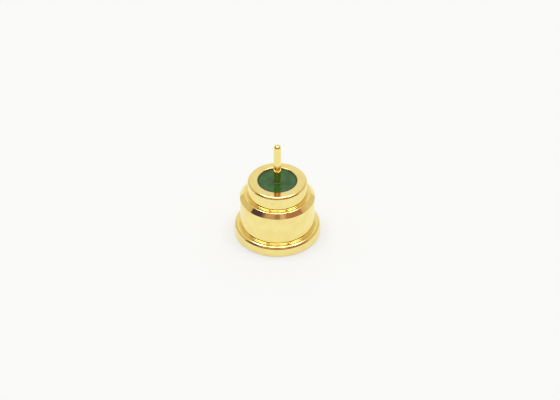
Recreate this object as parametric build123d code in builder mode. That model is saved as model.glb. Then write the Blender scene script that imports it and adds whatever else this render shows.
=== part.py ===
from build123d import *
import math
import os

# Sealed coaxial connector: a turned shell, a bead of sealing glass and one straight contact pin.
# Millimetres. The origin is the centre of the mouth face, and +Z runs up the axis to the circuit pin.

# Contact pin
pin_d = 0.38
pin_recess = 0.60  # from the mouth face up to the contact's tip
pin_out = 2.20  # free length above the shell
pin_end_round = 0.16  # both ends, for easy entry

# Seal
seal_d = 2.01  # gives a 50 ohm line round the pin in sealing glass
glass_drop = 0.05  # the glass ends this far below the shell's top face
glass_dish = 0.025  # how far the fused glass dips between pin and shell
creep_h = 0.05  # the glass wets the pin and climbs it by this
creep_w = 0.07  # and the climb starts this far from the pin

# Shell, outside, from the mouth up
flange_h = 0.57
drum_h = 1.84
neck_h = 0.82
flange_lip = 0.29  # how far the flange stands out from the drum
drum_wall = 0.35  # metal outside the socket bore
neck_wall = 0.505  # metal outside the glass
shoulder_break = 0.22  # 45 degree break on the drum's upper edge
shoulder_round = 0.10  # upper edge of that break
flange_round = 0.19  # upper edge of the flange
neck_round = 0.15  # upper edge of the neck
hole_round = 0.04  # edge of the hole for the glass
mouth_break = 0.05
relief_radius = 0.045  # round-nosed tool, at the feet of drum and neck
relief_depth = 0.01  # how far it cuts below the ledge

# Socket, inside, from the mouth up
bore_d = 3.10
floor_web = 0.26  # metal between the socket floor and the shoulder above it
throat_step = 0.08  # the detent crest stands in from the bore by this
groove_depth = 0.05  # the detent groove lies outside the bore by this
lead_in_flare = 0.33  # radial widening of the mouth
lead_in_h = 0.70
crest_h = 0.15
groove_h = 0.40
groove_ramp = 0.15  # height of the easy slope from groove to bore
crest_round = 0.05

pin_r = pin_d / 2
seal_r = seal_d / 2
bore_r = bore_d / 2
throat_r = bore_r - throat_step
groove_r = bore_r + groove_depth
mouth_r = throat_r + lead_in_flare
drum_r = bore_r + drum_wall
flange_r = drum_r + flange_lip
neck_r = seal_r + neck_wall

shoulder_z = flange_h + drum_h
top_z = shoulder_z + neck_h
floor_z = shoulder_z - floor_web
glass_z = top_z - glass_drop
pin_top_z = top_z + pin_out

os.makedirs("parts", exist_ok=True)


def rim(radius, height):
    """The circular edges of the part in work that have this radius and lie at this height."""
    return edges().filter_by(GeomType.CIRCLE).filter_by(
        lambda e: abs(e.radius - radius) < 1e-4 and abs(e.arc_center.Z - height) < 1e-4
    )


def relief(wall_r, ledge_z):
    """Section of the shallow groove between a wall and the ledge at its foot, from the wall out."""
    centre = (wall_r + relief_radius, ledge_z + relief_radius - relief_depth)
    rise = math.degrees(math.acos(1 - relief_depth / relief_radius))
    return CenterArc(centre, relief_radius, 180, 90 + rise)


# Outer shell: one turned piece. The outside is a stepped half section revolved about the axis,
# its edges are broken and rounded, and then the socket and the hole for the glass are bored.
with BuildPart() as outer_shell:
    with BuildSketch(Plane.XZ):
        with BuildLine():
            drum_foot = relief(drum_r, flange_h)
            neck_foot = relief(neck_r, shoulder_z)
            Polyline((0, 0), (flange_r, 0), (flange_r, flange_h), drum_foot @ 1)
            Polyline(drum_foot @ 0, (drum_r, shoulder_z), neck_foot @ 1)
            Polyline(neck_foot @ 0, (neck_r, top_z), (0, top_z), (0, 0))
        make_face()
    revolve(axis=Axis.Z)

    # Where a ledge has no room for them, the break with its rounding and the flange's rounding shrink.
    ledge = drum_r - (neck_foot @ 1).X
    round_reach = shoulder_round * math.tan(math.radians(22.5))
    room = min(1, 0.96 * ledge / (shoulder_break + round_reach))
    chamfer(rim(drum_r, shoulder_z), room * shoulder_break)
    fillet(rim(drum_r - room * shoulder_break, shoulder_z), room * shoulder_round)
    lip = flange_r - (drum_foot @ 1).X
    fillet(rim(flange_r, flange_h), min(flange_round, 0.9 * lip))
    fillet(rim(neck_r, top_z), neck_round)
    chamfer(rim(flange_r, 0), mouth_break)

    # Socket for the push-on mate: a conical lead-in, a rounded detent crest with a steep back,
    # the groove that the mate's fingers snap into, and a plain bore up to the flat floor.
    crest_z = lead_in_h + crest_h
    steep = groove_r - throat_r
    with BuildSketch(Plane.XZ):
        with BuildLine():
            Polyline(
                (0, 0), (mouth_r, 0), (throat_r, lead_in_h), (throat_r, crest_z),
                (groove_r, crest_z + steep), (groove_r, crest_z + groove_h),
                (bore_r, crest_z + groove_h + groove_ramp),
                (bore_r, floor_z), (0, floor_z), close=True,
            )
        make_face()
        crest = vertices().filter_by(lambda v: abs(v.X - throat_r) < 1e-4)
        fillet(crest, crest_round)
    revolve(axis=Axis.Z, mode=Mode.SUBTRACT)

    with BuildSketch(Plane.XY.offset(floor_z)):
        Circle(seal_r)
    extrude(amount=top_z - floor_z, mode=Mode.SUBTRACT)
    fillet(rim(seal_r, top_z), hole_round)

# Glass seal: a bead fused between shell and pin. It meets the shell below the hole's rounded edge,
# its free surfaces dip a little in between, and on the circuit side it climbs the pin.
with BuildPart() as glass_seal:
    with BuildSketch(Plane.XZ):
        creep_r = pin_r + creep_w
        mid_top_r = (creep_r + seal_r) / 2
        mid_low_r = (pin_r + seal_r) / 2
        with BuildLine():
            Line((seal_r, floor_z), (seal_r, glass_z))
            ThreePointArc((seal_r, glass_z), (mid_top_r, glass_z - glass_dish), (creep_r, glass_z))
            climb = TangentArc((creep_r, glass_z), (pin_r, glass_z + creep_h), tangent=(-1, 0))
            Line(climb @ 1, (pin_r, floor_z))
            ThreePointArc((pin_r, floor_z), (mid_low_r, floor_z + glass_dish), (seal_r, floor_z))
        make_face()
    revolve(axis=Axis.Z)

# Centre pin: one straight wire through the glass, rounded at both ends. The contact end stays
# behind the mouth face.
with BuildPart() as centre_pin:
    with BuildSketch(Plane.XY.offset(pin_recess)):
        Circle(pin_r)
    extrude(amount=pin_top_z - pin_recess)
    fillet(rim(pin_r, pin_top_z) + rim(pin_r, pin_recess), pin_end_round)

outer_shell.part.label = "outer_shell"
glass_seal.part.label = "glass_seal"
centre_pin.part.label = "centre_pin"
export_step(outer_shell.part, "parts/outer_shell.step")
export_step(glass_seal.part, "parts/glass_seal.step")
export_step(centre_pin.part, "parts/centre_pin.step")
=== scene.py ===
import math

import bmesh
import bpy
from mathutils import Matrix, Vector


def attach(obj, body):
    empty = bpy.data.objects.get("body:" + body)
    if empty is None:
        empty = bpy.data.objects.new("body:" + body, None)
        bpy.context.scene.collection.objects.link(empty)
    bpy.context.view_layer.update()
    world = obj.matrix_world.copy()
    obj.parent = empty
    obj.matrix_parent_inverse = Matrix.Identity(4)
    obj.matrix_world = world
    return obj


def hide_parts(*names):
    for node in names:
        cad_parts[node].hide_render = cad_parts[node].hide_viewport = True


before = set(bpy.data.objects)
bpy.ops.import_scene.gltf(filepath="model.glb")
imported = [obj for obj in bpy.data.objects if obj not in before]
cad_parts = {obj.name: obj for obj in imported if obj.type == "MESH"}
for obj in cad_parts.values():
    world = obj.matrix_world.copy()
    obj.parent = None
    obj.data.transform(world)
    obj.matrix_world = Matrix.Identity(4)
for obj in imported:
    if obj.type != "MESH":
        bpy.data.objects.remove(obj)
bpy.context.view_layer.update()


# ---- Camera ----
# A long lens looks down at the connector from the front, as a close-up on a table is taken.
# One picture pixel covers about 0.05 mm at the connector.

mm = 0.001
camera_height_deg = 38.7
camera_distance = 152.1 * mm
aim = Vector((0.134 * mm, 0.0, 1.938 * mm))
view_width = 28.40 * mm
sensor_width = 36.0
nearest_seen, farthest_seen = 1.0 * mm, 20.0

scene = bpy.context.scene
camera_data = bpy.data.cameras.new("camera")
camera_data.sensor_width = sensor_width
camera_data.lens = sensor_width * camera_distance / view_width
camera_data.clip_start = nearest_seen
camera_data.clip_end = farthest_seen
camera = bpy.data.objects.new("camera", camera_data)
tilt = math.radians(camera_height_deg)
toward_camera = Vector((0.0, -math.cos(tilt), math.sin(tilt)))
camera.location = aim + toward_camera * camera_distance
camera.rotation_euler = (math.radians(90.0 - camera_height_deg), 0.0, 0.0)
scene.collection.objects.link(camera)
scene.camera = camera
scene.view_settings.view_transform = "Standard"


# ---- Outer shell ----
# One piece of sealing alloy turned from bar: flange, drum and neck outside, detent socket
# inside. It is gold plated all over, so it mirrors the table and the lamp above it.

flange_r, drum_r, neck_r = 2.19, 1.90, 1.51
flange_h, shoulder_z, top_z = 0.57, 2.41, 3.23
shoulder_break, shoulder_round = 0.22, 0.10
flange_round, neck_round = 0.19, 0.15
relief_radius, relief_depth = 0.045, 0.01
mouth_break, hole_round, crest_round = 0.05, 0.04, 0.05
mouth_r, throat_r, groove_r, bore_r, seal_r = 1.80, 1.47, 1.60, 1.55, 1.005
lead_in_h, crest_h, groove_h, groove_ramp = 0.70, 0.15, 0.40, 0.15
floor_z = 2.15
polish = 0.02       # what tumbling leaves on edges that the drawing calls sharp
polish_steps = 4    # an edge that small needs few faces
hold = 0.004        # a point this far off each arc keeps the straight part beside it straight
seam_gap = 2e-8     # metres, closes the seam where a turned piece meets itself
sliver = 1e-9       # metres, and an edge this short is a leftover of that seam

bright_gold, deep_gold = (0.96, 0.83, 0.34), (0.92, 0.77, 0.29)
tone_from, tone_to = 0.35, 0.65    # the part of the polish pattern that changes the tone
dull_from, dull_to = 0.3, 0.7      # and the part that changes the roughness
mark_depth = 0.00002
marks_detail, patches_detail = 2.0, 4.0


def relief_points(wall_r, ledge_z, arc_steps):
    """The shallow groove that a round-nosed tool leaves where a wall meets the ledge below it."""
    centre = Vector((wall_r + relief_radius, ledge_z + relief_radius - relief_depth))
    rise = math.acos(1.0 - relief_depth / relief_radius)
    sweep = math.pi / 2 + rise
    points = [Vector((wall_r, centre.y + hold))]
    for k in range(arc_steps + 1):
        a = math.pi + sweep * k / arc_steps
        points.append(centre + relief_radius * Vector((math.cos(a), math.sin(a))))
    points.append(Vector((points[-1].x, ledge_z)) + Vector((hold / 4, 0)))
    points.append(Vector((points[-1].x + hold, ledge_z)))
    return points


def profile_points(corners, arc_steps):
    """Half section of a turned piece. Each corner is (radius, height, rounding), in millimetres.

    Rounded corners become arcs, and "relief" cuts a groove instead.
    """
    points = []
    for i, (r, z, rounding) in enumerate(corners):
        here = Vector((r, z))
        if rounding == "relief":
            points += relief_points(r, z, arc_steps)
            continue
        if rounding == 0 or i in (0, len(corners) - 1):
            points.append(here)
            continue
        back = (Vector(corners[i - 1][:2]) - here).normalized()
        on = (Vector(corners[i + 1][:2]) - here).normalized()
        half = back.angle(on) / 2
        reach = rounding / math.tan(half)
        centre = here + (back + on).normalized() * (rounding / math.sin(half))
        start, end = here + back * reach, here + on * reach
        points.append(start + back * hold)
        spoke = start - centre
        turn = spoke.angle_signed(end - centre)
        steps = arc_steps if rounding > polish else polish_steps
        for k in range(steps + 1):
            a = -turn * k / steps
            points.append(centre + Vector((
                spoke.x * math.cos(a) - spoke.y * math.sin(a),
                spoke.x * math.sin(a) + spoke.y * math.cos(a),
            )))
        points.append(end + on * hold)
    return points


def calculate(tree, operation, a, b=None):
    """A Math node on numbers or sockets."""
    n = tree.nodes.new("ShaderNodeMath")
    n.operation = operation
    for socket, value in zip(n.inputs, (a, b)):
        if value is None:
            continue
        if isinstance(value, (int, float)):
            socket.default_value = value
        else:
            tree.links.new(value, socket)
    return n.outputs[0]


def lathe_tree():
    """Geometry Nodes lathe: turns a profile, a chain of points (radius, 0, height), about Z."""
    tree = bpy.data.node_groups.new("lathe", "GeometryNodeTree")
    tree.is_modifier = True
    io = tree.interface
    io.new_socket("Profile", in_out="INPUT", socket_type="NodeSocketGeometry")
    sides = io.new_socket("Sides", in_out="INPUT", socket_type="NodeSocketInt")
    sides.default_value = 360
    sides.min_value = 3
    io.new_socket("Material", in_out="INPUT", socket_type="NodeSocketMaterial")
    io.new_socket("Turned piece", in_out="OUTPUT", socket_type="NodeSocketGeometry")
    node = tree.nodes.new
    link = tree.links.new

    # A flat grid: one row for each point of the profile, and one column more than sides.
    given = node("NodeGroupInput")
    size = node("GeometryNodeAttributeDomainSize")
    link(given.outputs["Profile"], size.inputs["Geometry"])
    columns = calculate(tree, "ADD", given.outputs["Sides"], 1)
    grid = node("GeometryNodeMeshGrid")
    link(size.outputs["Point Count"], grid.inputs["Vertices X"])
    link(columns, grid.inputs["Vertices Y"])

    # Row and column of each grid point. The half keeps rounding errors off the rows' borders.
    index = node("GeometryNodeInputIndex").outputs[0]
    row = calculate(tree, "FLOOR", calculate(
        tree, "DIVIDE", calculate(tree, "ADD", index, 0.5), columns))
    column = calculate(tree, "SUBTRACT", index, calculate(tree, "MULTIPLY", row, columns))
    step = calculate(tree, "DIVIDE", 2 * math.pi, given.outputs["Sides"])
    angle = calculate(tree, "MULTIPLY", column, step)

    # The row gives radius and height, and the column gives the angle about the axis.
    place = node("GeometryNodeInputPosition")
    sample = node("GeometryNodeSampleIndex")
    sample.data_type = "FLOAT_VECTOR"
    sample.domain = "POINT"
    link(given.outputs["Profile"], sample.inputs["Geometry"])
    link(place.outputs[0], sample.inputs["Value"])
    link(row, sample.inputs["Index"])
    split = node("ShaderNodeSeparateXYZ")
    link(sample.outputs["Value"], split.inputs[0])
    radius = split.outputs["X"]
    turned = node("ShaderNodeCombineXYZ")
    link(calculate(tree, "MULTIPLY", radius, calculate(tree, "COSINE", angle)), turned.inputs["X"])
    link(calculate(tree, "MULTIPLY", radius, calculate(tree, "SINE", angle)), turned.inputs["Y"])
    link(split.outputs["Z"], turned.inputs["Z"])
    move = node("GeometryNodeSetPosition")
    link(grid.outputs["Mesh"], move.inputs["Geometry"])
    link(turned.outputs[0], move.inputs["Position"])

    weld = node("GeometryNodeMergeByDistance")
    weld.inputs["Distance"].default_value = seam_gap
    link(move.outputs[0], weld.inputs["Geometry"])
    smooth = node("GeometryNodeSetShadeSmooth")
    link(weld.outputs[0], smooth.inputs["Geometry"])
    real = node("GeometryNodeRealizeInstances")
    link(smooth.outputs[0], real.inputs[0])
    finish = node("GeometryNodeSetMaterial")
    link(real.outputs[0], finish.inputs["Geometry"])
    link(given.outputs["Material"], finish.inputs["Material"])
    result = node("NodeGroupOutput")
    link(finish.outputs[0], result.inputs[0])
    return tree


lathe = lathe_tree()


def turn_piece(name, corners, material, sides, arc_steps=14):
    """Turns a half section on the lathe tree and returns a plain mesh object."""
    chain = bpy.data.meshes.new(name + "_profile")
    points = [(p.x * mm, 0.0, p.y * mm) for p in profile_points(corners, arc_steps)]
    chain.from_pydata(points, [(i, i + 1) for i in range(len(points) - 1)], [])
    blank = bpy.data.objects.new(name + "_profile", chain)
    scene.collection.objects.link(blank)
    work = blank.modifiers.new("lathe", "NODES")
    work.node_group = lathe
    sockets = {s.name: s.identifier for s in lathe.interface.items_tree if s.in_out == "INPUT"}
    work[sockets["Sides"]] = sides
    work[sockets["Material"]] = material
    depsgraph = bpy.context.evaluated_depsgraph_get()
    mesh = bpy.data.meshes.new_from_object(blank.evaluated_get(depsgraph))
    blank.modifiers.remove(work)
    bpy.data.objects.remove(blank)
    work_mesh = bmesh.new()
    work_mesh.from_mesh(mesh)
    bmesh.ops.dissolve_degenerate(work_mesh, dist=sliver, edges=work_mesh.edges)
    bmesh.ops.recalc_face_normals(work_mesh, faces=work_mesh.faces)
    work_mesh.to_mesh(mesh)
    work_mesh.free()
    mesh.name = name
    piece = bpy.data.objects.new(name, mesh)
    scene.collection.objects.link(piece)
    return piece


def stretch(tree, value, low, high, low_out=0.0, high_out=1.0, soft=False):
    """Spreads the values between low and high over a new range, with soft ends if asked."""
    n = tree.nodes.new("ShaderNodeMapRange")
    n.interpolation_type = "SMOOTHSTEP" if soft else "LINEAR"
    n.inputs["From Min"].default_value = low
    n.inputs["From Max"].default_value = high
    n.inputs["To Min"].default_value = low_out
    n.inputs["To Max"].default_value = high_out
    tree.links.new(value, n.inputs["Value"])
    return n.outputs["Result"]


def blend(tree, share, a, b):
    """Mixes two colours, each a tuple or a socket, with the given share of the second."""
    n = tree.nodes.new("ShaderNodeMix")
    n.data_type = "RGBA"
    tree.links.new(share, n.inputs["Factor"])
    for socket, value in ((n.inputs["A"], a), (n.inputs["B"], b)):
        if isinstance(value, tuple):
            socket.default_value = (*value, 1.0)
        else:
            tree.links.new(value, socket)
    return n.outputs["Result"]


def from_axis(tree, place):
    """Distance of a place from the axis that everything here is turned about."""
    flat = tree.nodes.new("ShaderNodeVectorMath")
    flat.operation = "MULTIPLY"
    flat.inputs[1].default_value = (1.0, 1.0, 0.0)
    tree.links.new(place, flat.inputs[0])
    length = tree.nodes.new("ShaderNodeVectorMath")
    length.operation = "LENGTH"
    tree.links.new(flat.outputs[0], length.inputs[0])
    return length.outputs["Value"]


def turning_marks_group():
    """Fine rings that a lathe tool leaves, as height, and the patches of a worn polish."""
    group = bpy.data.node_groups.new("turning_marks", "ShaderNodeTree")
    io = group.interface
    pitch = io.new_socket("Marks per mm", in_out="INPUT", socket_type="NodeSocketFloat")
    pitch.default_value = 60.0
    patch = io.new_socket("Patches per mm", in_out="INPUT", socket_type="NodeSocketFloat")
    patch.default_value = 2.0
    io.new_socket("Height", in_out="OUTPUT", socket_type="NodeSocketFloat")
    io.new_socket("Polish", in_out="OUTPUT", socket_type="NodeSocketFloat")
    node, link = group.nodes.new, group.links.new
    given, out = node("NodeGroupInput"), node("NodeGroupOutput")

    def in_mm(vector):
        n = node("ShaderNodeVectorMath")
        n.operation = "SCALE"
        n.inputs["Scale"].default_value = 1.0 / mm
        link(vector, n.inputs[0])
        return n.outputs[0]

    place = node("ShaderNodeTexCoord").outputs["Object"]
    split = node("ShaderNodeSeparateXYZ")
    link(place, split.inputs[0])
    section = node("ShaderNodeCombineXYZ")
    link(from_axis(group, place), section.inputs["X"])
    link(split.outputs["Z"], section.inputs["Y"])
    rings = node("ShaderNodeTexNoise")
    rings.noise_dimensions = "2D"
    rings.inputs["Detail"].default_value = marks_detail
    link(in_mm(section.outputs[0]), rings.inputs["Vector"])
    link(given.outputs["Marks per mm"], rings.inputs["Scale"])
    link(rings.outputs["Fac"], out.inputs["Height"])
    patches = node("ShaderNodeTexNoise")
    patches.inputs["Detail"].default_value = patches_detail
    link(in_mm(place), patches.inputs["Vector"])
    link(given.outputs["Patches per mm"], patches.inputs["Scale"])
    link(patches.outputs["Fac"], out.inputs["Polish"])
    return group


turning_marks = turning_marks_group()


def gold_plate(name, roughness, marks_per_mm):
    """Gold plate over turned metal: a clean mirror with faint tool rings and patches of polish."""
    material = bpy.data.materials.new(name)
    material.use_nodes = True
    tree = material.node_tree
    link = tree.links.new
    shader = tree.nodes["Principled BSDF"]
    shader.inputs["Metallic"].default_value = 1.0
    marks = tree.nodes.new("ShaderNodeGroup")
    marks.node_tree = turning_marks
    marks.inputs["Marks per mm"].default_value = marks_per_mm
    polish_share = marks.outputs["Polish"]
    tone = blend(tree, stretch(tree, polish_share, tone_from, tone_to), deep_gold, bright_gold)
    link(tone, shader.inputs["Base Color"])
    dull = stretch(tree, polish_share, dull_from, dull_to, *roughness)
    link(dull, shader.inputs["Roughness"])
    bump = tree.nodes.new("ShaderNodeBump")
    bump.inputs["Strength"].default_value = 1.0
    bump.inputs["Distance"].default_value = mark_depth * mm
    link(marks.outputs["Height"], bump.inputs["Height"])
    link(bump.outputs["Normal"], shader.inputs["Normal"])
    return material


shell_gold = gold_plate("shell_gold", roughness=(0.10, 0.06), marks_per_mm=60.0)
steep = groove_r - throat_r
crest_z = lead_in_h + crest_h
shell_corners = [
    (seal_r, floor_z, 0), (seal_r, top_z, hole_round), (neck_r, top_z, neck_round),
    (neck_r, shoulder_z, "relief"), (drum_r - shoulder_break, shoulder_z, shoulder_round),
    (drum_r, shoulder_z - shoulder_break, polish), (drum_r, flange_h, "relief"),
    (flange_r, flange_h, flange_round), (flange_r, 0, mouth_break), (mouth_r, 0, polish),
    (throat_r, lead_in_h, crest_round), (throat_r, crest_z, crest_round),
    (groove_r, crest_z + steep, polish), (groove_r, crest_z + groove_h, polish),
    (bore_r, crest_z + groove_h + groove_ramp, polish), (bore_r, floor_z, polish),
    (seal_r, floor_z, 0),
]
outer_shell = turn_piece("outer_shell_turned", shell_corners, shell_gold, sides=480)
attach(outer_shell, "root")
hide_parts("outer_shell")


# ---- Glass seal ----
# A bead of dark green sealing glass, fused between shell and pin in the furnace. Its free faces
# dip a little, and an olive painted shade darkens the glass at its rim beside the shell wall. The
# upper face lies just below the top of the shell and climbs the pin.

pin_r = 0.19
glass_drop, glass_dish = 0.05, 0.025
glass_low, glass_high = floor_z, top_z - glass_drop
creep_h, creep_w = 0.05, 0.07
creep_steps, dish_steps = 12, 20

dark_green, light_green = (0.012, 0.071, 0.009), (0.030, 0.128, 0.019)
# painted shade: the olive the glass darkens to at its rim, where it meets the shell wall
olive_painted_shade = (0.018, 0.030, 0.007)
edge_from, edge_to = 0.86, 0.98    # radii between which the painted shade by the shell wall turns the glass olive
clouds_per_mm, clouds_detail = 2.8, 5.0
clouds_from, clouds_to = 0.36, 0.64
wave_depth = 0.002

seal_glass = bpy.data.materials.new("seal_glass")
seal_glass.use_nodes = True
tree = seal_glass.node_tree
shader = tree.nodes["Principled BSDF"]
shader.inputs["IOR"].default_value = 1.50
shader.inputs["Roughness"].default_value = 0.08
place = tree.nodes.new("ShaderNodeTexCoord").outputs["Object"]
clouds = tree.nodes.new("ShaderNodeTexNoise")
clouds.inputs["Scale"].default_value = clouds_per_mm / mm
clouds.inputs["Detail"].default_value = clouds_detail
tree.links.new(place, clouds.inputs["Vector"])
cloudy = stretch(tree, clouds.outputs["Fac"], clouds_from, clouds_to)
green = blend(tree, cloudy, dark_green, light_green)
# painted shade: the glass darkens to olive towards the shell wall, in the corner between glass and
# metal
shade_by_shell_wall = stretch(tree, from_axis(tree, place), edge_from * mm, edge_to * mm, soft=True)
tree.links.new(blend(tree, shade_by_shell_wall, green, olive_painted_shade), shader.inputs["Base Color"])
waves = tree.nodes.new("ShaderNodeBump")
waves.inputs["Distance"].default_value = wave_depth * mm
tree.links.new(clouds.outputs["Fac"], waves.inputs["Height"])
tree.links.new(waves.outputs["Normal"], shader.inputs["Normal"])


def dished(r_from, r_to, z, dish):
    """Section of a free glass face that dips by `dish` between two radii at height z."""
    shares = [k / dish_steps for k in range(dish_steps + 1)]
    return [(r_from + (r_to - r_from) * t, z + dish * math.sin(math.pi * t), 0) for t in shares]


creep_radius = (creep_w ** 2 + creep_h ** 2) / (2 * creep_h)
climb = []
for k in range(creep_steps):
    a = math.asin(creep_w / creep_radius) * (1 - k / creep_steps)
    climb.append((
        pin_r + creep_w - creep_radius * math.sin(a),
        glass_high + creep_radius * (1 - math.cos(a)), 0,
    ))
glass_corners = [(pin_r, glass_low, 0)] + climb
glass_corners += dished(pin_r + creep_w, seal_r, glass_high, -glass_dish)
glass_corners += dished(seal_r, pin_r, glass_low, glass_dish)
glass_seal = turn_piece("glass_seal_fused", glass_corners, seal_glass, sides=360)
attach(glass_seal, "root")
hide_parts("glass_seal")


# ---- Centre pin ----
# One straight gold-plated wire, held by the glass alone. Both ends are rounded alike: the circuit
# end above the shell, and the contact end down in the socket.

pin_out = 2.20
pin_top_z, pin_foot_z = top_z + pin_out, 0.60
pin_end_round = 0.16
pin_gold = gold_plate("pin_gold", roughness=(0.14, 0.08), marks_per_mm=40.0)
pin_corners = [
    (0, pin_top_z, 0), (pin_r, pin_top_z, pin_end_round), (pin_r, pin_foot_z, pin_end_round),
    (0, pin_foot_z, 0),
]
centre_pin = turn_piece("centre_pin_wire", pin_corners, pin_gold, sides=128, arc_steps=10)
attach(centre_pin, "root")
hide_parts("centre_pin")


# ---- Table ----
# A smooth white table top. It keeps the connector's soft shadow, and shows white to the camera
# and in the metal. From below it is clear, so the socket can be seen.

reach, table_z = 3.0, -0.002 * mm
table_grey = (0.86, 0.86, 0.85, 1.0)
background_white = (0.965, 0.965, 0.95, 1.0)
table_glow_share = 0.45

table_mesh = bpy.data.meshes.new("table_top")
table_mesh.from_pydata(
    [(-reach, -reach, table_z), (reach, -reach, table_z), (reach, reach, table_z),
     (-reach, reach, table_z)], [], [(0, 1, 2, 3)],
)
table_white = bpy.data.materials.new("table_white")
table_white.use_nodes = True
nodes, link = table_white.node_tree.nodes, table_white.node_tree.links.new
nodes.remove(nodes["Principled BSDF"])
paper = nodes.new("ShaderNodeBsdfDiffuse")
paper.inputs["Color"].default_value = table_grey
glow = nodes.new("ShaderNodeEmission")
glow.inputs["Color"].default_value = background_white
lit = nodes.new("ShaderNodeMixShader")
lit.inputs["Fac"].default_value = table_glow_share
link(paper.outputs[0], lit.inputs[1])
link(glow.outputs[0], lit.inputs[2])
clear = nodes.new("ShaderNodeBsdfTransparent")
facing = nodes.new("ShaderNodeNewGeometry")
either = nodes.new("ShaderNodeMixShader")
link(facing.outputs["Backfacing"], either.inputs["Fac"])
link(lit.outputs[0], either.inputs[1])
link(clear.outputs[0], either.inputs[2])
link(either.outputs[0], nodes["Material Output"].inputs["Surface"])
table_mesh.materials.append(table_white)
table_top = bpy.data.objects.new("table_top", table_mesh)
scene.collection.objects.link(table_top)


# ---- Studio ----
# A white tent, open towards the camera onto a dim room, with a soft lamp of three panels in its
# roof. Metal and glass mirror the tent, the opening and the lamp.

tent_back, tent_left, tent_right = (0.87, 0.84, 0.81), (0.73, 0.63, 0.48), (0.74, 0.66, 0.52)
tent_seam, lamp_frame = (0.66, 0.47, 0.35), (0.45, 0.30, 0.20)
warm_wall, lit_wall, red_cloth = (0.58, 0.36, 0.28), (0.70, 0.48, 0.42), (0.43, 0.20, 0.18)
low_room, dark_corner, camera_shade = (0.42, 0.21, 0.13), (0.09, 0.05, 0.10), (0.37, 0.23, 0.22)
ambient_grey = (0.58, 0.58, 0.58, 1.0)

# Where one part gives way to the next, in terms of a direction of length one: across goes from
# left to right, up from the table to the roof, and aside is how far across it lies either way.
opening_axis, opening_edge = (0.03, 1.0, 0.0), (-0.055, -0.095)
lit_wall_across, red_cloth_across = (0.04, 0.14), (0.22, 0.40)
low_room_up = (0.60, 0.30)
corner_axis, corner_edge = (1.0, 0.0, -0.9), (-1.24, -1.06)
shade_aside, shade_up = (0.15, 0.06), (0.66, 0.74)
tent_right_across, tent_sides_aside = (-0.1, 0.1), (0.35, 0.65)
tent_seam_up, lamp_frame_up = (0.42, 0.58), (0.935, 0.955)

world = bpy.data.worlds.new("tent")
scene.world = world
world.use_nodes = True
tree = world.node_tree
nodes, link = tree.nodes, tree.links.new
nodes.clear()
direction = nodes.new("ShaderNodeTexCoord").outputs["Generated"]
split = nodes.new("ShaderNodeSeparateXYZ")
link(direction, split.inputs[0])
across, up = split.outputs["X"], split.outputs["Z"]
aside = calculate(tree, "ABSOLUTE", across)


def past(value, edge):
    """How far a direction has passed a soft edge, from 0 where it begins to 1 where it ends."""
    return stretch(tree, value, *edge, soft=True)


def along(axis):
    """How far a direction points along an axis, which need not have length one."""
    n = nodes.new("ShaderNodeVectorMath")
    n.operation = "DOT_PRODUCT"
    n.inputs[1].default_value = axis
    link(direction, n.inputs[0])
    return n.outputs["Value"]


room = blend(tree, past(across, lit_wall_across), warm_wall, lit_wall)
room = blend(tree, past(across, red_cloth_across), room, red_cloth)
room = blend(tree, past(up, low_room_up), room, low_room)
room = blend(tree, past(along(corner_axis), corner_edge), dark_corner, room)
behind_camera = calculate(tree, "MULTIPLY", past(aside, shade_aside), past(up, shade_up))
room = blend(tree, behind_camera, room, camera_shade)
sides = blend(tree, past(across, tent_right_across), tent_left, tent_right)
sides = blend(tree, past(up, tent_seam_up), sides, tent_seam)
tent = blend(tree, past(aside, tent_sides_aside), tent_back, sides)
around = blend(tree, past(along(opening_axis), opening_edge), tent, room)
around = blend(tree, past(up, lamp_frame_up), around, lamp_frame)

paths = nodes.new("ShaderNodeLightPath")
mirrored = nodes.new("ShaderNodeBackground")
link(around, mirrored.inputs["Color"])
ambient = nodes.new("ShaderNodeBackground")
ambient.inputs["Color"].default_value = ambient_grey
seen = nodes.new("ShaderNodeBackground")
seen.inputs["Color"].default_value = background_white
glossy = nodes.new("ShaderNodeMixShader")
link(paths.outputs["Is Glossy Ray"], glossy.inputs["Fac"])
link(ambient.outputs[0], glossy.inputs[1])
link(mirrored.outputs[0], glossy.inputs[2])
shown = nodes.new("ShaderNodeMixShader")
link(paths.outputs["Is Camera Ray"], shown.inputs["Fac"])
link(glossy.outputs[0], shown.inputs[1])
link(seen.outputs[0], shown.inputs[2])
sky = nodes.new("ShaderNodeOutputWorld")
link(shown.outputs[0], sky.inputs["Surface"])

lamp_height, lamp_back, lamp_depth = 0.5, 0.05, 0.24    # metres, and so are the panels' ends
lamp_radiance = 5.0
panels = (("left", -0.235, -0.122), ("middle", -0.088, 0.112), ("right", 0.150, 0.25))
for where, left, right in panels:
    panel = bpy.data.lights.new("roof_panel_" + where, "AREA")
    panel.shape = "RECTANGLE"
    panel.size = right - left
    panel.size_y = lamp_depth
    panel.energy = lamp_radiance * math.pi * panel.size * panel.size_y
    lamp = bpy.data.objects.new("roof_panel_" + where, panel)
    lamp.location = ((left + right) / 2, lamp_back, lamp_height)
    scene.collection.objects.link(lamp)
